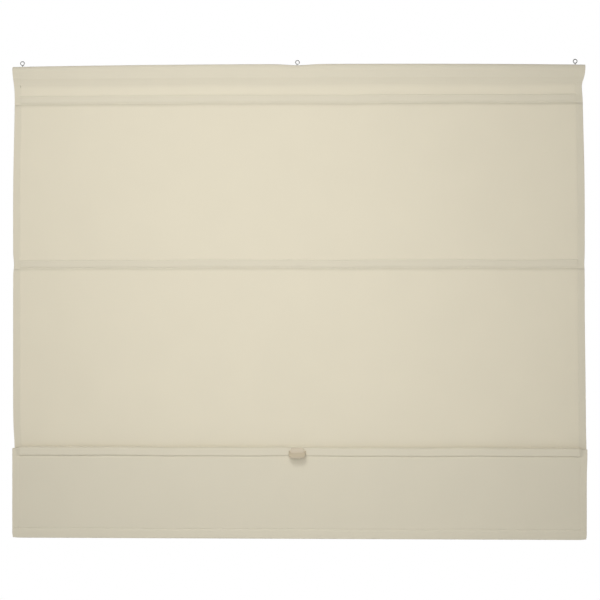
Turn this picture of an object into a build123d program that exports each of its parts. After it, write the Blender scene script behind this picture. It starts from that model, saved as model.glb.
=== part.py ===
"""A cordless roman blind, hung by three screw eyes and partly raised.

One sheet of cloth hangs from a wooden header batten. Four flat slats lie in
pockets sewn to its back, and a weight bar lies in its bottom hem. The lowest
slat, with the pull handle, is drawn up in front of the slat above it, where
magnets catch it, so the cloth between those two hangs in a hidden fold behind
the bottom flap.

Millimetres. X runs across the blind, +Z is up and -Y faces the room. The
origin is the centre of the middle screw eye's ring.
"""

from build123d import *
import os
from math import cos, radians, sin

# The cloth
cloth_width = 1400.0
cloth_thick = 0.8
side_hem_width = 18.0
side_hem_thick = 1.2  # what the turned edge adds behind the cloth
nominal_drop = 1600.0  # header top to bottom edge, let right down

# Where the slats lie, measured down the cloth
valance_drop = 80.5  # header top to slat 1
upper_pitch = 404.0  # slat 1 to slat 2
lower_pitch = 458.5  # slat 2 to slat 3
flap_drop = 212.6  # slat 4 to the bottom edge
catch_drop = 1.0  # how far slat 4 lies below slat 3 when it is caught there
stack_step = 10.0  # from one cloth plane to the next where two slats are caught

# Clearances
soft_gap = 0.3  # round what lies loose in cloth
fit_gap = 0.05  # round what is pressed or screwed in
spare_gap = 0.2  # round a screw where it only passes through

# Header batten
batten_inset = 4.0  # batten's end, from the cloth's edge
batten_height = 27.0
batten_depth = 18.0
batten_round = 1.5
casing_seam_drop = 16.0  # batten's underside to the casing's seam

# Screw eyes
eye_outer = 11.5
eye_wire = 2.2
eye_rise = 9.0  # ring centre above the header's top
eye_inset = 23.0  # outer eyes, from the cloth's edge
eye_bite = 16.0  # shank inside the batten
eye_point = 4.0

# Slats, their end caps and their pockets
slat_height = 13.0
slat_thick = 2.5
cap_wall = 0.75
cap_length = 10.0
cap_end = 2.0
pocket_inset = 19.0  # pocket's end, from the cloth's edge
pocket_end_gap = 3.0
pocket_flange = 2.8

# Catch magnets
magnet_radius = 4.0
magnet_offset = 450.0  # from the middle of the slat

# Bottom hem and its weight bar
hem_bar_height = 17.0
hem_slack = 2.8  # above the weight bar, inside the hem

# Hidden fold
loop_radius = 3.6  # of the cloth's middle, at the bottom of the fold

# Pull handle
neck_width = 32.0
neck_thick = 5.5
neck_top = 9.5  # above the slat's middle
neck_bottom = -7.0
neck_round = 3.0
lip_width = 42.0
lip_reach = 26.0
lip_front = 19.0
lip_straight = 7.0
lip_thick = 2.2
lip_root = 1.8  # the lip's top face at the cloth, from the slat's middle
lip_tilt = 32.0  # degrees below level
rim_width = 2.4
rim_height = 1.5
trough_radius = 2.5  # of the finger hold along the lip's root
trough_depth = 0.9
edge_round = 0.6
screw_radius = 1.4
screw_head_radius = 2.8
screw_spacing = 16.0
screw_bite = 4.0

# Heights and planes that follow
half_width = cloth_width / 2
half_cloth = cloth_thick / 2
batten_length = cloth_width - 2 * batten_inset
header_top = -eye_rise
casing_height = batten_height + 2 * (soft_gap + cloth_thick)
casing_depth = batten_depth + 2 * (soft_gap + cloth_thick)
batten_top = header_top - cloth_thick - soft_gap
batten_bottom = batten_top - batten_height
casing_bottom = header_top - casing_height
casing_seam = batten_bottom - casing_seam_drop
slat_z = [header_top - valance_drop]
slat_z.append(slat_z[0] - upper_pitch)
slat_z.append(slat_z[1] - lower_pitch)
slat_z.append(slat_z[2] - catch_drop)
flap_bottom = slat_z[3] - flap_drop
folded_pitch = nominal_drop - valance_drop - upper_pitch - lower_pitch - flap_drop

cap_height = slat_height + 2 * cap_wall
cap_thick = slat_thick + 2 * cap_wall
pocket_hollow = cap_height / 2 + soft_gap
pocket_half = pocket_hollow + cloth_thick + pocket_flange
pocket_depth = cap_thick + 2 * soft_gap
pocket_length = cloth_width - 2 * pocket_inset
slat_length = pocket_length - 2 * (pocket_end_gap + cap_end)
slat_middle_y = half_cloth + pocket_depth / 2  # behind its own cloth plane

# Slats 1 to 3 hang in the plane of the panels, slat 4 one step nearer the room
plane_y = [0.0, 0.0, 0.0, -stack_step]
flap_y = plane_y[3]

os.makedirs("parts", exist_ok=True)


def write(builder, name):
    """Labels a finished piece and writes it as its own STEP file."""
    builder.part.label = name
    export_step(builder.part, f"parts/{name}.step")


# Header batten: planed softwood, with a pilot hole under each screw eye
eye_x = {"left": eye_inset - half_width, "centre": 0.0, "right": half_width - eye_inset}
with BuildPart() as batten:
    with BuildSketch(Plane.YZ.offset(-batten_length / 2)):
        with Locations((0, batten_top - batten_height / 2)):
            Rectangle(batten_depth, batten_height)
    extrude(amount=batten_length)
    fillet(batten.edges().filter_by(Axis.X), batten_round)
    with BuildSketch(Plane.XY.offset(batten_top)):
        with Locations(*[(x, 0) for x in eye_x.values()]):
            Circle(eye_wire / 2 + fit_gap)
    extrude(amount=-eye_bite, mode=Mode.SUBTRACT)
write(batten, "header_batten")

# Screw eyes: steel wire bent to a ring, with a pointed shank in the batten
ring_radius = (eye_outer - eye_wire) / 2
shank_end = batten_top - eye_bite + fit_gap
for side, x in eye_x.items():
    with BuildPart() as eye:
        with Locations((x, 0, 0)):
            Torus(ring_radius, eye_wire / 2, rotation=(90, 0, 0))
        with BuildSketch(Plane.XY.offset(-ring_radius)):
            with Locations((x, 0)):
                Circle(eye_wire / 2)
        extrude(amount=shank_end + eye_point + ring_radius)
        with Locations((x, 0, shank_end + eye_point / 2)):
            Cone(eye_wire / 16, eye_wire / 2, eye_point)
    write(eye, f"screw_eye_{side}")


def add_side_hems(top, bottom, plane):
    """Adds the turned side edges to the back of the cloth that is being built."""
    back = plane + half_cloth
    for side in (-1, 1):
        with Locations((side * (half_width - side_hem_width / 2), back, bottom)):
            Box(
                side_hem_width,
                side_hem_thick,
                top - bottom,
                align=(Align.CENTER, Align.MIN, Align.MIN),
            )


# Top of the cloth: the casing round the batten, and the short panel to slat 1
top_cloth_end = slat_z[0] - pocket_half
casing_half = casing_depth / 2
hollow_half = casing_half - cloth_thick
with BuildPart() as cloth_top:
    with BuildSketch(Plane.YZ.offset(-half_width)):
        with BuildLine():
            Polyline(
                (-casing_half, header_top),
                (casing_half, header_top),
                (casing_half, casing_bottom),
                (half_cloth, casing_seam),
                (half_cloth, top_cloth_end),
                (-half_cloth, top_cloth_end),
                (-half_cloth, casing_seam),
                (-casing_half, casing_bottom),
                close=True,
            )
        make_face()
        with BuildLine():
            Polyline(
                (-hollow_half, header_top - cloth_thick),
                (hollow_half, header_top - cloth_thick),
                (hollow_half, casing_bottom),
                (0, casing_seam + 2 * cloth_thick),
                (-hollow_half, casing_bottom),
                close=True,
            )
        make_face(mode=Mode.SUBTRACT)
    extrude(amount=cloth_width)
    with BuildSketch(Plane.XY.offset(header_top - cloth_thick)):
        with Locations(*[(x, 0) for x in eye_x.values()]):
            Circle(eye_wire / 2 + spare_gap)
    extrude(amount=cloth_thick, mode=Mode.SUBTRACT)
    add_side_hems(casing_seam, top_cloth_end, 0)
write(cloth_top, "cloth_top")


# Upper and lower panels: flat cloth with its side edges turned to the back
panels = {"cloth_upper": (slat_z[0], slat_z[1]), "cloth_lower": (slat_z[1], slat_z[2])}
for name, (slat_above, slat_below) in panels.items():
    panel_top = slat_above - pocket_half
    panel_bottom = slat_below - pocket_half
    with BuildPart() as panel:
        with BuildSketch(Plane.XY.offset(panel_bottom)):
            Rectangle(cloth_width, cloth_thick)
        extrude(amount=panel_top - panel_bottom)
        add_side_hems(panel_top, panel_bottom, 0)
    write(panel, name)

# Hidden fold: down from slat 3, round a loop, and up behind the flap to slat 4
fold_top = slat_z[2] - pocket_half
fold_front = flap_y + half_cloth + pocket_depth + cloth_thick + soft_gap + half_cloth
flap_top = slat_z[3] + pocket_half + soft_gap + cloth_thick
# The cloth from slat 3 to slat 4, less what goes over slat 4 and back down to it
over_slat = (flap_top - slat_z[3]) + (fold_front - flap_y) - cloth_thick
fold_rise = flap_top - slat_z[2]
fold_depth = (folded_pitch - over_slat - fold_rise - loop_radius * 3.1416) / 2
loop_z = slat_z[2] - fold_depth
loop_y = fold_front + loop_radius
outer_loop = loop_radius + half_cloth
inner_loop = loop_radius - half_cloth
with BuildPart() as cloth_fold:
    with BuildSketch(Plane.YZ.offset(-half_width)):
        with BuildLine():
            Polyline(
                (loop_y + outer_loop, loop_z),
                (half_cloth, fold_top),
                (-half_cloth, fold_top),
                (loop_y + inner_loop, loop_z),
            )
            ThreePointArc(
                (loop_y + inner_loop, loop_z),
                (loop_y, loop_z - inner_loop),
                (loop_y - inner_loop, loop_z),
            )
            Polyline(
                (loop_y - inner_loop, loop_z),
                (fold_front + half_cloth, flap_top),
                (fold_front - half_cloth, flap_top),
                (loop_y - outer_loop, loop_z),
            )
            ThreePointArc(
                (loop_y - outer_loop, loop_z),
                (loop_y, loop_z - outer_loop),
                (loop_y + outer_loop, loop_z),
            )
        make_face()
    extrude(amount=cloth_width)
write(cloth_fold, "cloth_fold")

# Bottom flap: over the top of slat 4, down the front, and round the weight bar
flap_front = flap_y - half_cloth
flap_back = flap_y + half_cloth
hem_back = flap_back + pocket_depth + cloth_thick
hem_height = hem_bar_height + 2 * cap_wall + soft_gap + 3 * cloth_thick + hem_slack
hem_top = flap_bottom + hem_height
handle_face = flap_front - spare_gap
screw_x = [-screw_spacing / 2, screw_spacing / 2]
with BuildPart() as cloth_flap:
    with BuildSketch(Plane.YZ.offset(-half_width)):
        with BuildLine():
            Polyline(
                (flap_front, flap_top),
                (fold_front - half_cloth, flap_top),
                (fold_front - half_cloth, flap_top - cloth_thick),
                (flap_back, flap_top - cloth_thick),
                (flap_back, hem_top + cloth_thick),
                (hem_back, hem_top - cloth_thick),
                (hem_back, flap_bottom),
                (flap_front, flap_bottom),
                close=True,
            )
        make_face()
        with BuildLine():
            Polyline(
                (flap_back, flap_bottom + cloth_thick),
                (hem_back - cloth_thick, flap_bottom + cloth_thick),
                (hem_back - cloth_thick, hem_top - 2 * cloth_thick),
                (flap_back, hem_top - cloth_thick),
                close=True,
            )
        make_face(mode=Mode.SUBTRACT)
    extrude(amount=cloth_width)
    add_side_hems(slat_z[3] + pocket_half, hem_top + cloth_thick, flap_y)
    with BuildSketch(Plane.XZ.offset(-flap_back)):
        with Locations(*[(x, slat_z[3]) for x in screw_x]):
            Circle(screw_radius + spare_gap)
    extrude(amount=cloth_thick, mode=Mode.SUBTRACT)
write(cloth_flap, "cloth_flap")

# Each slat: an aluminium bar with two magnets and two end caps, in a sewn pocket
cap_x = slat_length / 2 + cap_end - cap_length
for number, (z, plane) in enumerate(zip(slat_z, plane_y), start=1):
    back = plane + half_cloth
    middle = plane + slat_middle_y
    slat_back = middle + slat_thick / 2

    with BuildPart() as strip:
        with BuildSketch(Plane.YZ.offset(-pocket_length / 2)):
            with Locations((back + cloth_thick / 2, z)):
                Rectangle(cloth_thick, 2 * pocket_half)
            with Locations((back + (pocket_depth + cloth_thick) / 2, z)):
                Rectangle(pocket_depth + cloth_thick, 2 * (pocket_hollow + cloth_thick))
            with Locations((back + pocket_depth / 2, z)):
                Rectangle(pocket_depth, 2 * pocket_hollow, mode=Mode.SUBTRACT)
        extrude(amount=pocket_length)
    write(strip, f"pocket_strip_{number}")

    with BuildPart() as slat:
        with BuildSketch(Plane.XZ.offset(-slat_back)):
            with Locations((0, z)):
                Rectangle(slat_length, slat_height)
            with Locations((-magnet_offset, z), (magnet_offset, z)):
                Circle(magnet_radius + fit_gap, mode=Mode.SUBTRACT)
        extrude(amount=slat_thick)
        if number == 4:
            # Countersunk from behind for the handle's screws
            with Locations(*[Plane((x, slat_back, z), z_dir=(0, 1, 0)) for x in screw_x]):
                CounterSinkHole(screw_radius + spare_gap, screw_head_radius + spare_gap)
    write(slat, f"slat_{number}")

    with BuildPart() as magnets:
        with BuildSketch(Plane.XZ.offset(-slat_back)):
            with Locations((-magnet_offset, z), (magnet_offset, z)):
                Circle(magnet_radius)
        extrude(amount=slat_thick)
    write(magnets, f"catch_magnets_{number}")


def end_cap(x_inner, outward, y, z, height, name):
    """Makes a moulded sleeve that closes one end of a bar of the given height."""
    x_outer = x_inner + outward * cap_length
    middle_x = (x_inner + x_outer) / 2
    with BuildPart() as cap:
        with Locations((middle_x, y, z)):
            Box(cap_length, cap_thick, height + 2 * cap_wall)
        outer_edges = cap.faces().sort_by(Axis.X)[-1 if outward > 0 else 0].edges()
        fillet(outer_edges, edge_round)
        with Locations((middle_x - outward * cap_end, y, z)):
            Box(cap_length, slat_thick, height, mode=Mode.SUBTRACT)
    write(cap, name)


sides = {"left": -1, "right": 1}
for number, (z, plane) in enumerate(zip(slat_z, plane_y), start=1):
    for side, outward in sides.items():
        name = f"slat_{number}_cap_{side}"
        end_cap(outward * cap_x, outward, plane + slat_middle_y, z, slat_height, name)

# Weight bar: a steel strip lying in the bottom hem, with its own end caps
hem_bar_z = flap_bottom + cloth_thick + soft_gap + cap_wall + hem_bar_height / 2
with BuildPart() as hem_bar:
    with Locations((0, flap_y + slat_middle_y, hem_bar_z)):
        Box(slat_length, slat_thick, hem_bar_height)
write(hem_bar, "hem_bar")
for side, outward in sides.items():
    name = f"hem_bar_cap_{side}"
    y = flap_y + slat_middle_y
    end_cap(outward * cap_x, outward, y, hem_bar_z, hem_bar_height, name)

# Pull handle: a neck screwed to slat 4 through the cloth, and a dished lip
lip_across = Vector(1, 0, 0)
lip_up = Vector(0, -sin(radians(lip_tilt)), cos(radians(lip_tilt)))
lip_origin = (0, handle_face, slat_z[3] + lip_root)
lip_plane = Plane(origin=lip_origin, x_dir=lip_across, z_dir=lip_up)
trough_centre = (0, -neck_thick - trough_radius, trough_radius - trough_depth)


def lip_outline(inset):
    """Draws the lip's outline, drawn in by inset at its sides and front edge."""
    half = lip_width / 2 - inset
    front = lip_front / 2 - inset / 2
    reach = lip_reach - inset
    for side in (-1, 1):
        Line((side * half, lip_thick), (side * half, -lip_straight))
        Bezier(
            (side * half, -lip_straight),
            (side * half, -lip_straight - (reach - lip_straight) * 0.7),
            (side * (front + (half - front) * 0.7), -reach),
            (side * front, -reach),
        )
    Line((-front, -reach), (front, -reach))
    Line((-half, lip_thick), (half, lip_thick))


with BuildPart() as handle:
    with BuildSketch(Plane.XZ.offset(-handle_face)):
        with Locations((0, slat_z[3] + (neck_top + neck_bottom) / 2)):
            RectangleRounded(neck_width, neck_top - neck_bottom, neck_round)
    extrude(amount=neck_thick)
    fillet(handle.faces().sort_by(Axis.Y)[0].edges(), edge_round)
    with BuildSketch(lip_plane.offset(-lip_thick)):
        with BuildLine():
            lip_outline(0)
        make_face()
    extrude(amount=lip_thick)
    with BuildSketch(lip_plane):
        with BuildLine():
            lip_outline(0)
        make_face()
        with BuildLine():
            lip_outline(rim_width)
        make_face(mode=Mode.SUBTRACT)
    extrude(amount=rim_height)
    with Locations(lip_plane.location * Location(trough_centre, (0, 90, 0))):
        Cylinder(trough_radius, neck_width - 2 * neck_round, mode=Mode.SUBTRACT)
    split(bisect_by=Plane.XZ.offset(-handle_face), keep=Keep.TOP)
    # The lip's underside is its lowest level face, the rim its highest
    level_faces = handle.faces().filter_by(Axis((0, 0, 0), tuple(lip_up)))
    level_faces = level_faces.sort_by(Axis(lip_origin, tuple(lip_up)))
    lip_edges = level_faces[0].edges() + level_faces[-1].edges()
    neck_front = handle_face - neck_thick - edge_round
    fillet([edge for edge in lip_edges if edge.center().Y < neck_front], edge_round)
    with BuildSketch(Plane.XZ.offset(-handle_face)):
        with Locations(*[(x, slat_z[3]) for x in screw_x]):
            Circle(screw_radius + fit_gap)
    extrude(amount=screw_bite + fit_gap, mode=Mode.SUBTRACT)
write(handle, "pull_handle")

# Handle screws: two countersunk screws from behind the slat
screw_back = flap_y + slat_middle_y + slat_thick / 2
head_depth = screw_head_radius - screw_radius
with BuildPart() as screws:
    for x in screw_x:
        with BuildSketch(Plane.XZ.offset(-screw_back)):
            with Locations((x, slat_z[3])):
                Circle(screw_head_radius)
        extrude(amount=head_depth, taper=45)
        with BuildSketch(Plane.XZ.offset(-screw_back)):
            with Locations((x, slat_z[3])):
                Circle(screw_radius)
        extrude(amount=screw_back - handle_face + screw_bite)
write(screws, "handle_screws")

print("cloth planes", plane_y, "slats", slat_z)
print("flap top", round(flap_top, 2), "flap bottom", round(flap_bottom, 2))
print("folded pitch", round(folded_pitch, 2), "fold bottom", round(loop_z - outer_loop, 2))
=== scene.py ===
"""A cordless roman blind, partly raised: its cloth, sewing, fittings and studio."""

import bpy
import numpy as np
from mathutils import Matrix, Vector


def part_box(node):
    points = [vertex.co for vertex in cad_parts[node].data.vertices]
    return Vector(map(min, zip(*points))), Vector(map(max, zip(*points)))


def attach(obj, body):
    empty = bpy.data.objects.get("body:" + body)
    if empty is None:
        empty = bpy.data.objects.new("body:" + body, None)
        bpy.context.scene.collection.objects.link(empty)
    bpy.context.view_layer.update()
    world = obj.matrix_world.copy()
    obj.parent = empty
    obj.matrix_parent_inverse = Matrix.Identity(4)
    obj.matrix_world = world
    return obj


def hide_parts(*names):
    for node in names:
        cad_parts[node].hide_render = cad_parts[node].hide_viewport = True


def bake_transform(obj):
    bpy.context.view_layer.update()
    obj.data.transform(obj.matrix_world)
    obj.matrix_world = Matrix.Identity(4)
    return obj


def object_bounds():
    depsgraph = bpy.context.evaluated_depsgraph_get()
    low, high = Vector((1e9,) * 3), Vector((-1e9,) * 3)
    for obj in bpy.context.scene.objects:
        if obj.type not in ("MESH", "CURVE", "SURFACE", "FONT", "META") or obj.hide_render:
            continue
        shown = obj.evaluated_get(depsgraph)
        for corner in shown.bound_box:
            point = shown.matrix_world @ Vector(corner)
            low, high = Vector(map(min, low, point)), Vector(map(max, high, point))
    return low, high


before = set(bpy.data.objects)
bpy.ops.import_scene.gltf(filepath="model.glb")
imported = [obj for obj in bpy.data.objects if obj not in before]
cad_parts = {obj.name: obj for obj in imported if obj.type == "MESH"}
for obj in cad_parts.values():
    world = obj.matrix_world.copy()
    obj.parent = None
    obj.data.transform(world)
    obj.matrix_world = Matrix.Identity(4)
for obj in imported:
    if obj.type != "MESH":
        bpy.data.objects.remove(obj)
cad_low, cad_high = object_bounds()
mm = 0.001


# Studio: a camera a little right of the blind's middle, a large soft light above and in
# front, a weaker one beside the camera, and one behind that shines through the cloth.
# The pale floor lies as far below the blind as under a tall window.
middle = (cad_low + cad_high) / 2
scene = bpy.context.scene
scene.view_settings.view_transform = "Standard"

camera_far, camera_side, aim_side = 4.0, 0.1226, 0.0062
camera_z = middle.z - 2 * mm
camera = bpy.data.objects.new("camera", bpy.data.cameras.new("camera"))
camera.data.sensor_width = 36
camera.data.lens = 98.03
camera.location = (camera_side, -camera_far, camera_z)
camera_aim = Vector((aim_side, 0, camera_z))
camera.rotation_euler = (camera_aim - camera.location).to_track_quat("-Z", "Y").to_euler()
scene.collection.objects.link(camera)
scene.camera = camera


def soft_light(name, place, aim, width, height, power):
    """A rectangular area light at place, turned towards aim, which cameras don't see."""
    lamp = bpy.data.lights.new(name, "AREA")
    lamp.shape, lamp.size, lamp.size_y, lamp.energy = "RECTANGLE", width, height, power
    light = bpy.data.objects.new(name, lamp)
    light.location = place
    light.rotation_euler = (Vector(aim) - Vector(place)).to_track_quat("-Z", "Y").to_euler()
    light.visible_camera = False
    scene.collection.objects.link(light)


soft_light(
    "key", place=(-0.34, -1.75, 0.7), aim=(-0.1, 0, -0.5), width=1.0, height=0.8, power=21.6
)
soft_light(
    "fill", place=(-0.03, -1.6, -0.74), aim=(-0.03, 0, -0.74), width=1, height=1, power=12.6
)
soft_light(
    "back", place=(-0.1, 2.0, -0.2), aim=(-0.05, 0, -0.48), width=1.6, height=1.2, power=38
)

world = bpy.data.worlds.new("studio")
scene.world = world
world.use_nodes = True
sky = world.node_tree
sky.nodes.clear()
ray = sky.nodes.new("ShaderNodeLightPath")
seen, lit = sky.nodes.new("ShaderNodeBackground"), sky.nodes.new("ShaderNodeBackground")
seen.inputs["Color"].default_value = (1, 1, 1, 1)
lit.inputs["Color"].default_value = (1, 1, 1, 1)
lit.inputs["Strength"].default_value = 0.2
either = sky.nodes.new("ShaderNodeMixShader")
sky.links.new(ray.outputs["Is Camera Ray"], either.inputs[0])
sky.links.new(lit.outputs[0], either.inputs[1])
sky.links.new(seen.outputs[0], either.inputs[2])
sky.links.new(either.outputs[0], sky.nodes.new("ShaderNodeOutputWorld").inputs[0])

floor_z, floor_half = -2.3, 3.6
floor_mesh = bpy.data.meshes.new("floor")
corners = [(-1, -1), (1, -1), (1, 1), (-1, 1)]
floor_mesh.from_pydata(
    [(floor_half * x, floor_half * y, floor_z) for x, y in corners], [], [(0, 1, 2, 3)]
)
floor_paint = bpy.data.materials.new("floor_paint")
floor_paint.use_nodes = True
floor_shader = floor_paint.node_tree.nodes["Principled BSDF"]
floor_shader.inputs["Base Color"].default_value = (0.9, 0.9, 0.89, 1)
floor_shader.inputs["Roughness"].default_value = 0.8
floor_shader.inputs["Emission Color"].default_value = (1, 1, 0.99, 1)
floor_shader.inputs["Emission Strength"].default_value = 0.15
floor_mesh.materials.append(floor_paint)
floor = bpy.data.objects.new("floor", floor_mesh)
scene.collection.objects.link(floor)


# Finishes: a finish is a material whose shader is written as sums on its sockets.
class Value:
    """One output socket. Arithmetic on it adds Math nodes to its material."""

    def __init__(self, finish, socket):
        self.finish, self.socket = finish, socket

    def math(self, operation, *others, first=None):
        values = [self, *others] if first is None else [first, self]
        settings = {"operation": operation}
        return self.finish.node("ShaderNodeMath", settings, dict(enumerate(values)))

    def __add__(self, other):
        return self.math("ADD", other)

    def __mul__(self, other):
        return self.math("MULTIPLY", other)

    def __sub__(self, other):
        return self.math("SUBTRACT", other)

    def __rsub__(self, other):
        return self.math("SUBTRACT", first=other)

    __radd__, __rmul__ = __add__, __mul__


class Finish:
    """A material with one Principled shader, and one method that adds any other node."""

    def __init__(self, name, rough, **constants):
        self.material = bpy.data.materials.new(name)
        self.material.use_nodes = True
        self.tree = self.material.node_tree
        self.tree.nodes.clear()
        self.shader = self.tree.nodes.new("ShaderNodeBsdfPrincipled")
        self.shader.inputs["Roughness"].default_value = rough
        for socket, value in constants.items():
            self.shader.inputs[socket.replace("_", " ").title()].default_value = value
        self.output = self.tree.nodes.new("ShaderNodeOutputMaterial")
        self.tree.links.new(self.shader.outputs[0], self.output.inputs[0])

    def plug(self, node, socket, value):
        """Links value to a node's socket, or sets it there if it is a plain number."""
        if isinstance(value, Value):
            self.tree.links.new(value.socket, node.inputs[socket])
        else:
            node.inputs[socket].default_value = value

    def node(self, kind, settings, sockets, output=0):
        """Adds a node, sets it, fills its sockets, and gives one of its outputs."""
        node = self.tree.nodes.new(kind)
        for name, value in settings.items():
            setattr(node, name, value)
        for socket, value in sockets.items():
            self.plug(node, socket, value)
        return Value(self, node.outputs[output])

    def noise(self, place, scale, detail=2.0, rough=0.5):
        """Fractal noise from 0 to 1 at place, with scale features to the metre."""
        sockets = {"Vector": place, "Scale": scale, "Detail": detail, "Roughness": rough}
        return self.node("ShaderNodeTexNoise", {}, sockets)

    def stretched(self, place, factors):
        """place with its three axes multiplied by factors."""
        return self.node("ShaderNodeMapping", {}, {"Vector": place, "Scale": factors})

    def shade(self, colour, spread):
        """colour, made up to half of spread darker or lighter by a value from 0 to 1."""
        dark = tuple(c * (1 - spread[1] / 2) for c in colour) + (1,)
        light = tuple(min(1, c * (1 + spread[1] / 2)) for c in colour) + (1,)
        settings = {"data_type": "RGBA"}
        return self.node("ShaderNodeMix", settings, {0: spread[0], 6: dark, 7: light}, 2)

    def bump(self, height, distance, strength=1.0):
        """A normal from a height of 0 to 1 that stands distance metres high."""
        sockets = {"Height": height, "Distance": distance, "Strength": strength}
        return self.node("ShaderNodeBump", {}, sockets)


# Cloth: one sheet of plain-woven cream polyester and cotton, half a millimetre thick.
# Its sides are turned to the back and sewn down with one row of stitches.
cloth_cream = (0.805, 0.75, 0.603)
through_cream = (0.80, 0.75, 0.64)
through_share = 0.22
thread_pitch = 0.7 * mm


def woven_cloth():
    """The cloth's finish: a fine plain weave with uneven threads, and a little light
    that comes through from behind. The weave follows the cloth by its UV map, which is
    in metres: each thread is one half-wave of a sine."""
    cloth = Finish("woven_cloth", 0.88, sheen_weight=0.12, sheen_roughness=0.4)
    flat = cloth.node("ShaderNodeUVMap", {"uv_map": "cloth"}, {})
    across = cloth.node("ShaderNodeSeparateXYZ", {}, {0: flat}, "X")
    along = cloth.node("ShaderNodeSeparateXYZ", {}, {0: flat}, "Y")
    turns = np.pi / thread_pitch
    weave = (across * turns).math("SINE") * (along * turns).math("SINE")
    warp = cloth.noise(cloth.stretched(flat, (900, 14, 1)), 1.0)
    weft = cloth.noise(cloth.stretched(flat, (14, 900, 1)), 1.0)
    patches = cloth.noise(flat, 9.0, 1.0)
    threads = warp * 0.5 + weft * 0.5
    tone = threads * 0.6 + patches * 0.4
    colour = cloth.shade(cloth_cream, (tone, 0.08))
    height = threads * 0.7 + (weave * 0.5 + 0.5) * 0.3
    normal = cloth.bump(height, 0.12 * mm, 0.5)
    cloth.plug(cloth.shader, "Base Color", colour)
    cloth.plug(cloth.shader, "Normal", normal)
    sockets = {"Color": (*through_cream, 1), "Normal": normal}
    through = cloth.node("ShaderNodeBsdfTranslucent", {}, sockets)
    both = cloth.tree.nodes.new("ShaderNodeMixShader")
    both.inputs[0].default_value = through_share
    cloth.tree.links.new(cloth.shader.outputs[0], both.inputs[1])
    cloth.tree.links.new(through.socket, both.inputs[2])
    cloth.tree.links.new(both.outputs[0], cloth.output.inputs[0])
    return cloth.material


cloth_material = woven_cloth()
cloth_thick = 0.5 * mm
hem_turn = 0.28 * mm
hem_stitch = 16 * mm
pocket_inset = 18 * mm
fade_start, fade_length = 8 * mm, 12 * mm  # a pocket's relief, from the cloth's side
pocket_rows = np.array([10.4, -8.3]) * mm  # above and below a slat's middle
slat_box = [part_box(f"slat_{n}") for n in (1, 2, 3, 4)]
slat_z = [(low.z + high.z) / 2 for low, high in slat_box]
strip_box = [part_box(f"pocket_strip_{n}") for n in (1, 2, 3, 4)]
strip_half = (strip_box[0][1].z - strip_box[0][0].z) / 2
panel_end = [z - strip_half for z in slat_z]
half_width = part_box("cloth_upper")[1].x
panel_y = (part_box("cloth_upper")[0].y + strip_box[1][0].y) / 2
flap_y = panel_y + strip_box[3][0].y - strip_box[2][0].y
flap_low, flap_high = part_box("cloth_flap")
batten_low, batten_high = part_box("header_batten")
casing_seam = batten_low.z - 15 * mm


def bell(distance, width):
    """1 at no distance, falling to 0 as a Gaussian of that width."""
    return np.exp(-((distance / width) ** 2))


def pinch(z, middle, above, below):
    """A bell of the height with one width above its middle and another below."""
    return bell(z - middle, np.where(z > middle, above, below))


def settle(points):
    """How the hung cloth sits, as a shift of each point that depends on its x and z, so
    that layers in front of each other stay apart. Between two slats it bellies by half a
    sine of their distance, with slow waves across. Its sides draw in beside each slat as
    a bell of the height, in millimetres, more so behind the flap, and flare out at the
    lower right. It puckers in short waves near each seam, its upper left droops as a bell
    of x, and its lower corners are rounded off."""
    x, y, z = np.moveaxis(points, -1, 0)
    held_z = np.array([flap_low.z, slat_z[2], slat_z[1], slat_z[0], casing_seam, 0.02])
    belly = np.array([-1.4, -3.2, -2.4, -0.5, 0.0]) * mm
    band = np.clip(np.searchsorted(held_z, z) - 1, 0, 4)
    share = np.clip((z - held_z[band]) / (held_z[band + 1] - held_z[band]), 0, 1)
    swell = np.sin(np.pi * share ** np.array([1, 0.75, 1, 1, 1])[band])
    waves = 1 + 0.45 * np.sin(x * 9.1 + z * 3.0 + 0.6) + 0.35 * np.sin(x * 17.3 - z * 5.0)
    pucker = 0
    for row, seam in enumerate([*slat_z[:3], casing_seam]):
        off = abs(z - seam)
        near = bell(off, 34 * mm) * np.clip(off / (14 * mm), 0, 1)
        short = np.sin(x * 97 + row * 2.1) + 0.7 * np.sin(x * 173 + row + z * 20)
        pucker = pucker + near * short

    behind_flap = y > flap_y + 3 * mm
    left = (
        3.8 * pinch(z, slat_z[0] + 10 * mm, 45 * mm, 166 * mm)
        + 2.0 * bell(z - slat_z[1], 16 * mm)
        + 3.6 * bell(z - slat_z[2], 55 * mm) * behind_flap
    )
    right = (
        4.8 * pinch(z, slat_z[0] + 28 * mm, 22 * mm, 170 * mm)
        + 2.4 * bell(z - slat_z[0] - 28 * mm, 22 * mm)
        + 0.8 * bell(z - slat_z[1], 16 * mm)
        + 0.8 * bell(z - slat_z[2], 55 * mm) * behind_flap
    )
    flare_top, flare_length = -620 * mm, 300 * mm
    flare = 3.6 * np.clip((flare_top - z) / flare_length, 0, 1)
    right = right - flare - 1.6 * bell(z - slat_z[3], 40 * mm)

    side = np.clip(x / half_width, -1, 1)
    corner = bell(z - flap_low.z, 7 * mm) * bell(abs(x) - half_width, 9 * mm)
    ripple = 0.5 * np.sin(x * 13 + z * 31) + 0.35 * np.sin(x * 29 + 1.7)
    ripple = ripple * (z < casing_seam) * (z > flap_low.z + 9 * mm)
    droop = 1.8 * bell(x + half_width, 160 * mm)
    droop = droop * (z < casing_seam) * (z > slat_z[2] + 40 * mm)
    drawn_in = np.where(side < 0, left, -right) * abs(side) ** 3
    settled_x = x + mm * (drawn_in - np.sign(x) * 1.2 * corner)
    settled_y = y + belly[band] * swell * waves + 0.17 * mm * pucker
    settled_z = z + mm * (1.2 * corner + ripple - droop)
    return np.stack([settled_x, settled_y, settled_z], axis=-1)


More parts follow.
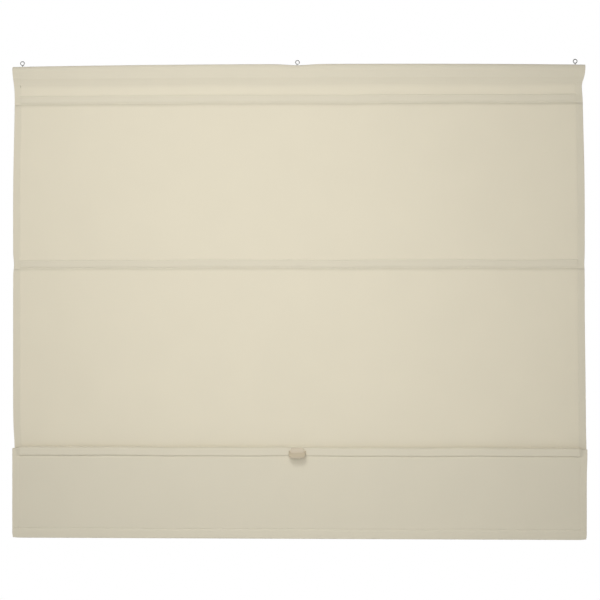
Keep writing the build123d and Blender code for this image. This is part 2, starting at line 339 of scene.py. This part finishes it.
def bent_path(corners, radii, arc_steps=6):
    """A path of straight runs in the YZ plane whose corners are rounded: at each one
    an arc of its radius, which leaves both runs along their tangents."""
    corners = np.array(corners, float)
    made = [corners[:1]]
    for before, corner, after, radius in zip(corners, corners[1:], corners[2:], radii):
        back = (before - corner) / np.linalg.norm(before - corner)
        on = (after - corner) / np.linalg.norm(after - corner)
        half = np.arccos(np.clip(back @ on, -1, 1)) / 2
        centre = corner + (back + on) / np.linalg.norm(back + on) * radius / np.sin(half)
        start = corner + back * radius / np.tan(half) - centre
        end = corner + on * radius / np.tan(half) - centre
        span = np.pi - 2 * half
        turn = np.linspace(0, span, arc_steps)[:, None]
        made.append(
            centre + (np.sin(span - turn) * start + np.sin(turn) * end) / np.sin(span)
        )
    made.append(corners[-1:])
    return np.concatenate(made)


def measured(path):
    """Arc length at each point of a path."""
    return np.concatenate([[0], np.cumsum(np.linalg.norm(np.diff(path, axis=0), axis=1))])


def face_z(path, z):
    """Distance along a path of the last place where it passes the height z."""
    far = measured(path)
    last = np.flatnonzero((path[:-1, 1] - z) * (path[1:, 1] - z) <= 0)[-1]
    part = (path[last, 1] - z) / (path[last, 1] - path[last + 1, 1])
    return far[last] + part * (far[last + 1] - far[last])


class Sheet:
    """Part of the cloth: its path in the YZ plane, the pockets sewn on it, each given by
    the distances of its two rows of stitches, its other seams, how far it stands up, and
    how far its pockets swell, with what power of the distance from their middles. On the
    flap the handle pins the middle flat, and the pocket's upper seam is a plain fold."""

    def __init__(
        self, path, pockets=(), seams=(), rise=None, swell=1.4 * mm, power=6, pinned=False
    ):
        self.path, self.far = path, measured(path)
        self.pockets, self.seams, self.rise = pockets, seams, rise
        self.swell, self.power, self.pinned = swell, power, pinned

    def relief(self, x, far):
        """How far the face stands in from its path. A seam is a groove that falls off
        quickly above and slowly below. A pocket is a pillow between its two seams, one
        less a power of the distance from its middle, and ends short of the sides. Each
        turned side has one more shallow groove."""

        def groove(off, depth=0.7 * mm):
            return depth * np.exp(-abs(off) / np.where(off < 0, 1.3 * mm, 3.0 * mm))

        edge = half_width - abs(x)
        ends = np.clip((edge - fade_start) / fade_length, 0, 1)
        ends = ends * ends * (3 - 2 * ends)
        loose = ends
        if self.pinned:
            loose = ends * (1 - 1 / (1 + (x / (22 * mm)) ** 8))
        height = 0.22 * mm * bell(edge - hem_stitch, 1.1 * mm)
        height = height + sum(groove(far - seam) for seam in self.seams)
        for top, bottom in self.pockets:
            place = np.clip(2 * (far - top) / (bottom - top) - 1, -1, 1)
            rows = groove(far - bottom, 0.5 * self.swell)
            if not self.pinned:
                rows = rows + groove(far - top, 0.6 * self.swell)
            height = height + ends * rows - loose * self.swell * (1 - abs(place) ** self.power)
        return height

    def lay(self, x, far, inward=0.0):
        """Points of the sheet at x across and far down its path, or inward from it."""
        x, far = np.broadcast_arrays(x, far)
        y = np.interp(far, self.far, self.path[:, 0])
        z = np.interp(far, self.far, self.path[:, 1])
        step = 0.4 * mm
        down = np.stack(
            [
                np.interp(far + step, self.far, self.path[:, axis])
                - np.interp(far - step, self.far, self.path[:, axis])
                for axis in (0, 1)
            ]
        )
        down = down / np.linalg.norm(down, axis=0)
        inward = inward + self.relief(x, far)
        points = np.stack([x, y - down[1] * inward, z + down[0] * inward], axis=-1)
        if self.rise is not None:
            points[..., 2] += self.rise(points[..., 0], points[..., 2])
        return settle(points)


def grid_quads(rows, columns, closed=False):
    """The corners of every quad of a grid of points, which may close across its rows."""
    index = np.arange(rows * columns).reshape(rows, columns)
    if closed:
        index = np.concatenate([index, index[:, :1]], axis=1)
    corners = [index[:-1, :-1], index[1:, :-1], index[1:, 1:], index[:-1, 1:]]
    return np.stack(corners, axis=-1).reshape(-1, 4)


def smooth_mesh(name, points, quads):
    """A smooth mesh of quads over points."""
    mesh = bpy.data.meshes.new(name)
    mesh.from_pydata(points.reshape(-1, 3), [], quads)
    mesh.shade_smooth()
    return mesh


def flat_mesh(name, points, flat):
    """A mesh over a grid of points (rows, columns, 3), whose UV map gives each point's
    place on the uncut cloth in metres."""
    quads = grid_quads(*points.shape[:2])
    mesh = smooth_mesh(name, points, quads)
    layer = mesh.uv_layers.new(name="cloth")
    layer.uv.foreach_set("vector", flat.reshape(-1, 2)[quads.ravel()].ravel())
    return mesh


def show(name, mesh, material):
    """Puts a mesh in the scene as a piece with one material and one finish slot."""
    mesh.materials.append(material)
    piece = bpy.data.objects.new(name, mesh)
    scene.collection.objects.link(piece)
    return piece


def cut_across():
    """The cloth's width as a profile: x, depth behind the face, and distance along the
    cloth. Each side goes straight out, half round a small turn, and back in."""
    turn = np.linspace(0, np.pi, 5)[1:]
    inner = half_width - hem_turn
    out = np.concatenate(
        [
            np.linspace(0, inner - 30 * mm, 62),
            inner - np.arange(25, 12, -0.8) * mm,
            inner - np.array([9, 6, 3, 1, 0]) * mm,
        ]
    )
    back_in = np.array([1, 4, 9, 17]) * mm
    x = np.concatenate([out, inner + hem_turn * np.sin(turn), inner - back_in])
    depth = np.concatenate(
        [0 * out, hem_turn * (1 - np.cos(turn)), 2 * hem_turn + 0 * back_in]
    )
    x = np.concatenate([-x[:0:-1], x])
    depth = np.concatenate([depth[:0:-1], depth])
    along = measured(np.stack([x, depth], axis=1))
    return x, depth, along - along[-1] / 2


def cloth_piece(name, sheet):
    """Makes one piece of cloth. Its rows lie closer together at its seams."""
    whole = sheet.far[-1]
    seams = [*sheet.seams, *(far for pocket in sheet.pockets for far in pocket)]
    rows = [np.linspace(0, whole, max(4, round(whole / (9 * mm)))), sheet.far]
    rows += [seam + np.arange(-6, 8, 0.8) * mm for seam in seams]
    rows = np.sort(np.concatenate(rows))
    rows = rows[(rows >= 0) & (rows <= whole)]
    rows = rows[np.concatenate([[True], np.diff(rows) > 0.08 * mm])]
    x, depth, across = cut_across()
    points = sheet.lay(x[None, :], rows[:, None], depth[None, :])
    flat = np.stack(np.broadcast_arrays(across[None, :], -rows[:, None]), axis=-1)
    piece = show(name, flat_mesh(name, points, flat), cloth_material)
    wall = piece.modifiers.new("thickness", "SOLIDIFY")
    wall.thickness, wall.offset = cloth_thick, 0
    return piece, (across[-1] - across[0], whole)


# Stitches: spun polyester thread, the cloth's colour, in lockstitch 3.4 mm long. Each
# stitch shows as a short rounded bar that dips into the cloth at both of its ends.
stitch_length = 3.4 * mm
thread_radius = 0.19 * mm


def sewing_thread():
    """The thread's finish: fine slanting plies as a fast wave along x, y and z."""
    thread = Finish("sewing_thread", 0.6, sheen_weight=0.2)
    place = thread.node("ShaderNodeTexCoord", {}, {}, "Object")
    plies = thread.noise(thread.stretched(place, (2600, 1400, 1400)), 1.0)
    thread.plug(thread.shader, "Base Color", thread.shade((0.72, 0.66, 0.52), (plies, 0.25)))
    thread.plug(thread.shader, "Normal", thread.bump(plies, 0.05 * mm, 0.6))
    return thread.material


thread_material = sewing_thread()


def stitched_line(sheet, corners, depth):
    """A thread along straight lines between corners (x, distance down the sheet), as a
    tube of six sides round a path. Its height over the cloth is a constant less the
    sixth power of a cosine, which is deepest where two stitches meet."""
    corners = np.array(corners, float)
    far = measured(corners)
    count = max(1, round(far[-1] / stitch_length))
    along = np.linspace(0, 1, count * 6 + 1)
    x = np.interp(along * far[-1], far, corners[:, 0])
    down = np.interp(along * far[-1], far, corners[:, 1])
    side = np.sign(depth)
    dip = 0.5 * mm * np.cos(np.pi * along * count) ** 6
    middle = sheet.lay(x, down, depth + side * (0.1 * mm - dip))
    outer = sheet.lay(x, down, depth + side * (1.1 * mm - dip)) - middle
    outer /= np.linalg.norm(outer, axis=-1, keepdims=True)
    ahead = np.gradient(middle, axis=0)
    ahead /= np.linalg.norm(ahead, axis=-1, keepdims=True)
    beside = np.cross(ahead, outer)
    turn = (np.arange(6) * np.pi / 3)[None, :, None]
    ring = np.cos(turn) * outer[:, None] + np.sin(turn) * beside[:, None]
    return middle[:, None] + thread_radius * ring


def sewn(name, sheet, lines):
    """Makes one piece of all the stitched lines of a sheet."""
    points, quads, first = [], [], 0
    for corners, depth in lines:
        tube = stitched_line(sheet, corners, depth)
        points.append(tube.reshape(-1, 3))
        quads.append(grid_quads(*tube.shape[:2], closed=True) + first)
        first += len(points[-1])
    mesh = smooth_mesh(name, np.concatenate(points), np.concatenate(quads))
    return show(name, mesh, thread_material)


face_depth = -cloth_thick / 2
back_depth = cloth_thick / 2 + 0.5 * mm


def pocket_lines(pocket):
    """The two rows of stitches of one pocket, on the face and on the tape behind."""
    end = half_width - pocket_inset
    rows = [[(-end, far), (end, far)] for far in pocket]
    return [(row, depth) for depth in (face_depth, back_depth) for row in rows]


def side_lines(start, end):
    """The rows of stitches down both turned sides, on the face."""
    x = half_width - hem_stitch
    return [([(-x, start), (-x, end)], face_depth), ([(x, start), (x, end)], face_depth)]


# Pocket tapes: woven tape 22 mm wide, sewn to the back of the cloth by both its edges,
# so that it makes a flat sleeve for a slat. Its ends are open.
tape_thick = 0.45 * mm
sleeve_half, sleeve_bend = 8.3 * mm, 0.7 * mm


def woven_tape():
    """The tape's finish: narrow ribs along its length, as waves of the height."""
    tape = Finish("woven_tape", 0.8, sheen_weight=0.15)
    place = tape.node("ShaderNodeTexCoord", {}, {}, "Object")
    ribs = tape.noise(tape.stretched(place, (25, 900, 900)), 1.0)
    fine = tape.noise(place, 1500.0, 1.0)
    tape.plug(tape.shader, "Base Color", tape.shade((0.78, 0.73, 0.60), (ribs, 0.1)))
    tape.plug(tape.shader, "Normal", tape.bump(ribs * 0.6 + fine * 0.4, 0.12 * mm, 0.6))
    return tape.material


tape_material = woven_tape()


def pocket_tape(number, plane):
    """One tape: a low flat-topped profile behind the cloth, carried across it. The last
    one has no upper flange, because its edge is caught in the flap's top fold."""
    slat, (low, high) = slat_z[number - 1], strip_box[number - 1]
    flange = plane + (cloth_thick + tape_thick) / 2 + 0.1 * mm
    back = high.y - tape_thick / 2 - 0.1 * mm
    half, bend = sleeve_half, sleeve_half + sleeve_bend
    upper = [(flange, high.z), (flange, slat + bend), (back, slat + half)]
    lower = [(back, slat - half), (flange, slat - bend), (flange, low.z)]
    radii = [0.8 * mm, 1.4 * mm, 1.4 * mm, 0.8 * mm]
    if plane == flap_y:
        upper, radii = [(flange, slat + half), (back, slat + half - 0.5 * mm)], radii[1:]
    path = bent_path(upper + lower, radii, 5)
    x = np.linspace(low.x, high.x, 150)
    points = np.stack(np.broadcast_arrays(x[None, :], path[:, :1], path[:, 1:]), axis=-1)
    points = settle(points)
    flat = np.stack(np.broadcast_arrays(x[None, :], -measured(path)[:, None]), axis=-1)
    name = f"pocket_tape_{number}"
    tape = show(name, flat_mesh(name, points, flat), tape_material)
    wall = tape.modifiers.new("thickness", "SOLIDIFY")
    wall.thickness, wall.offset = tape_thick, 0
    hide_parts(f"pocket_strip_{number}")
    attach(tape, "header" if number == 1 else f"rod_{number}")


pocket_tape(1, panel_y)
pocket_tape(2, panel_y)
pocket_tape(3, panel_y)
pocket_tape(4, flap_y)


# Top of the cloth: it wraps the batten as a sewn casing, and falls from the casing's
# front edge to the first slat. Between the screw eyes the casing stands a little proud.
casing_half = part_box("cloth_top")[1].y - cloth_thick / 2
casing_top = batten_high.z + 0.35 * mm
centre_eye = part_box("screw_eye_centre")
centre_x = (centre_eye[0].x + centre_eye[1].x) / 2


def casing_rise(x, z):
    """The casing's top stands up in a flat arch across, and dips as a bell at the middle
    screw eye. Its foot stays where it is."""
    arch = 4.4 * mm * (1 - abs(x / half_width) ** 2.5)
    dip = 3.0 * mm * bell(x - centre_x, 36 * mm)
    share = np.clip((z - batten_low.z) / (batten_high.z - batten_low.z), 0, 1)
    return (arch - dip) * share


def fall_from_casing(z):
    """y of the cloth below the casing: an exponential return to the panels' plane."""
    return -casing_half * np.exp(-((batten_low.z - z) / (17 * mm)) ** 1.3)


hem_gap = cloth_thick + 0.25 * mm
casing_end = casing_seam - 7 * mm
bulge, bulge_z = 4.6 * mm, batten_low.z + 19 * mm
around = bent_path(
    [
        (fall_from_casing(casing_end) + hem_gap, casing_end),
        (fall_from_casing(casing_seam) + hem_gap, casing_seam),
        (casing_half, batten_low.z),
        (casing_half, casing_top),
        (-casing_half - 0.2 * mm, casing_top),
        (-casing_half - bulge, bulge_z),
        (-casing_half, batten_low.z + 1 * mm),
    ],
    [2 * mm, 6 * mm, 3.5 * mm, 3.5 * mm, 16 * mm],
)
fall_z = np.linspace(batten_low.z, slat_z[0] + 12 * mm, 30)
fall = np.stack([fall_from_casing(fall_z), fall_z], axis=1)
top_path = np.concatenate([around, fall, [(0, panel_end[0])]]) + [panel_y, 0]
top_pocket = [face_z(top_path, slat_z[0] + row) for row in pocket_rows]
top_sheet = Sheet(top_path, [top_pocket], rise=casing_rise)
top, cut = cloth_piece("cloth_top_casing", top_sheet)
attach(top, "header")
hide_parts("cloth_top")

seam_end = half_width - 2 * mm
casing_far = face_z(top_path, casing_seam - 1 * mm)
casing_row = [(-seam_end, casing_far), (seam_end, casing_far)]
top_lines = [
    *pocket_lines(top_pocket),
    (casing_row, face_depth),
    *side_lines(casing_far, top_sheet.far[-1]),
]
top_stitches = sewn("stitches_top", top_sheet, top_lines)
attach(top_stitches, "header")


# Upper and lower panels: the flat cloth between the slats.
def panel(name, node, upper, lower):
    """One panel from just below slat number upper to just below slat number lower."""
    top_z, slat = panel_end[upper - 1], slat_z[lower - 1]
    path = np.array([(panel_y, top_z), (panel_y, panel_end[lower - 1])])
    pocket = list(top_z - slat - pocket_rows)
    sheet = Sheet(path, [pocket])
    piece, cut = cloth_piece(f"cloth_{name}_panel", sheet)
    lines = [*pocket_lines(pocket), *side_lines(0, sheet.far[-1])]
    stitches = sewn(f"stitches_{name}", sheet, lines)
    start, end = (0, panel_y, (top_z + slat) / 2), (0, panel_y, slat + strip_half)
    for soft in (piece, stitches):
        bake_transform(soft)
    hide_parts(node)


panel("upper", "cloth_upper", 1, 2)
panel("lower", "cloth_lower", 2, 3)


# Hidden fold: the cloth between slats 3 and 4 goes down behind the flap, round a loop,
# and up to the top of the flap.
fold_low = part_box("cloth_fold")[0]
rise_y = fold_low.y + 0.4 * mm
loop_radius = 3.6 * mm
loop_z = fold_low.z + 4.0 * mm
half_turn = np.linspace(0, np.pi, 11)
loop_y = rise_y + loop_radius * (1 + np.cos(half_turn))
loop = np.stack([loop_y, loop_z - loop_radius * np.sin(half_turn)], axis=1)
fold_back, cut = cloth_piece(
    "cloth_fold_back", Sheet(np.concatenate([[(panel_y, panel_end[2])], loop]))
)
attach(fold_back, "rod_3")

flap_top = flap_high.z - 4.6 * mm
fold_end = (rise_y, flap_top - 3 * mm)
fold_front, cut = cloth_piece(
    "cloth_fold_front", Sheet(np.array([(rise_y, loop_z), fold_end]))
)
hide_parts("cloth_fold")
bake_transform(fold_front)


# Bottom flap: the cloth goes over the top of slat 4, hangs down in front, and is turned
# up behind to make the hem that the weight bar lies in.
bar_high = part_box("hem_bar")[1]
hem_seam = bar_high.z + 5 * mm
hem_back = bar_high.y + 1.6 * mm
hem_foot = flap_low.z + cloth_thick / 2
hem_puff, hem_fold = 0.7 * mm, hem_seam - 5 * mm
flap_path = bent_path(
    [
        fold_end,
        (rise_y, flap_top),
        (flap_y, flap_top),
        (flap_y, hem_seam),
        (flap_y - hem_puff, hem_fold),
        (flap_y - hem_puff, hem_foot),
        (hem_back, hem_foot),
        (hem_back, hem_fold),
        (flap_y + hem_gap, hem_seam + 1 * mm),
        (flap_y + hem_gap, hem_seam + 6 * mm),
    ],
    [2.2 * mm, 2.6 * mm, 6 * mm, 6 * mm, 2 * mm, 2 * mm, 3 * mm, 3 * mm],
)
face_end = int(np.argmin(flap_path[:, 1] - 1e-6 * np.arange(len(flap_path))))
flap_face = flap_path[: face_end + 1]
top_fold = 4.2 * mm
flap_row = slat_z[3] + pocket_rows[1] - 2.4 * mm
flap_pocket = [top_fold, face_z(flap_face, flap_row)]
hem_row = face_z(flap_face, hem_seam)
flap_sheet = Sheet(flap_path, [flap_pocket], [hem_row], swell=3.0 * mm, power=8, pinned=True)
flap, cut = cloth_piece("cloth_bottom_flap", flap_sheet)
flap_lines = [
    *pocket_lines(flap_pocket)[1:],
    ([(-seam_end, hem_row), (seam_end, hem_row)], face_depth),
    *side_lines(flap_pocket[1], measured(flap_face)[-1] - 2 * mm),
]
flap_stitches = sewn("stitches_flap", flap_sheet, flap_lines)
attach(flap_stitches, "rod_4")
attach(flap, "rod_4")
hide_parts("cloth_flap")


# Header batten: planed softwood, unpainted. Its growth rings show as bands along it and
# as curves on its end grain.
def planed_pine():
    """Wood as a wave of the distance from a far pith, bent by stretched noise."""
    pine = Finish("planed_pine", 0.62)
    place = pine.node("ShaderNodeTexCoord", {}, {}, "Object")
    drift = pine.noise(pine.stretched(place, (3, 60, 60)), 1.0)
    height = pine.node("ShaderNodeSeparateXYZ", {}, {0: place}, "Z")
    depth = pine.node("ShaderNodeSeparateXYZ", {}, {0: place}, "Y")
    pith = (height * 1600 + depth * depth * 26000 + drift * 9.0).math("SINE")
    fibre = pine.noise(pine.stretched(place, (30, 1500, 1500)), 1.0)
    tone = (pith * 0.5 + 0.5) * 0.6 + fibre * 0.4
    pine.plug(pine.shader, "Base Color", pine.shade((0.60, 0.42, 0.24), (tone, 0.5)))
    pine.plug(pine.shader, "Normal", pine.bump(tone, 0.12 * mm, 0.5))
    return pine.material


def finished(node, material):
    """Gives a solid of the frame its finish."""
    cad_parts[node].data.materials.clear()
    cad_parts[node].data.materials.append(material)


finished("header_batten", planed_pine())


# Metal parts: zinc-plated steel screw eyes and screws, drawn aluminium slats, nickel
# magnets and a galvanised weight bar. Each has fine marks along the way it was made.
def bare_metal(name, colour, rough, uneven, grain, stretch, depth):
    """A metal whose roughness and height follow one stretched noise."""
    metal = Finish(name, rough, metallic=1.0)
    place = metal.node("ShaderNodeTexCoord", {}, {}, "Object")
    marks = metal.noise(metal.stretched(place, stretch), grain, 3.0)
    clouds = metal.noise(place, 60.0)
    metal.plug(metal.shader, "Base Color", metal.shade(colour, (clouds, uneven)))
    metal.plug(metal.shader, "Roughness", marks * 0.25 + (rough - 0.12))
    metal.plug(metal.shader, "Normal", metal.bump(marks, depth, 0.5))
    return metal.material


plated = bare_metal(
    "zinc_plate", colour=(0.30, 0.30, 0.29), rough=0.34, uneven=0.3,
    grain=700, stretch=(1, 1, 1), depth=0.05 * mm,
)
drawn = bare_metal(
    "drawn_aluminium", colour=(0.72, 0.73, 0.74), rough=0.4, uneven=0.1,
    grain=900, stretch=(0.02, 1, 1), depth=0.04 * mm,
)
nickel = bare_metal(
    "nickel_plate", colour=(0.66, 0.64, 0.60), rough=0.22, uneven=0.1,
    grain=300, stretch=(1, 1, 1), depth=0.02 * mm,
)
dipped = bare_metal(
    "galvanised", colour=(0.50, 0.52, 0.53), rough=0.45, uneven=0.35,
    grain=140, stretch=(0.3, 1, 1), depth=0.06 * mm,
)
for side in ("left", "centre", "right"):
    finished(f"screw_eye_{side}", plated)
finished("handle_screws", plated)
finished("hem_bar", dipped)
for number in (1, 2, 3, 4):
    finished(f"slat_{number}", drawn)
    finished(f"catch_magnets_{number}", nickel)


# Moulded parts: the pull handle is a beige plastic with a fine spark-eroded grain, and
# the caps pushed on the ends of the slats and of the weight bar are paler and softer.
def moulded(name, colour, rough, grain_depth):
    """A plastic with a fine even grain and a faint cloudiness."""
    plastic = Finish(name, rough, coat_weight=0.08, coat_roughness=0.3)
    place = plastic.node("ShaderNodeTexCoord", {}, {}, "Object")
    grain = plastic.noise(place, 2200.0, 2.0)
    clouds = plastic.noise(place, 90.0, 2.0)
    tone = clouds * 0.7 + grain * 0.3
    plastic.plug(plastic.shader, "Base Color", plastic.shade(colour, (tone, 0.08)))
    plastic.plug(plastic.shader, "Roughness", grain * 0.15 + (rough - 0.08))
    plastic.plug(plastic.shader, "Normal", plastic.bump(grain, grain_depth, 0.5))
    return plastic.material


cap_plastic = moulded(
    "cap_plastic", colour=(0.74, 0.72, 0.66), rough=0.5, grain_depth=0.03 * mm
)
handle_plastic = moulded(
    "handle_plastic", colour=(0.56, 0.485, 0.36), rough=0.42, grain_depth=0.05 * mm
)
finished("pull_handle", handle_plastic)
for side in ("left", "right"):
    finished(f"hem_bar_cap_{side}", cap_plastic)
    for number in (1, 2, 3, 4):
        finished(f"slat_{number}_cap_{side}", cap_plastic)
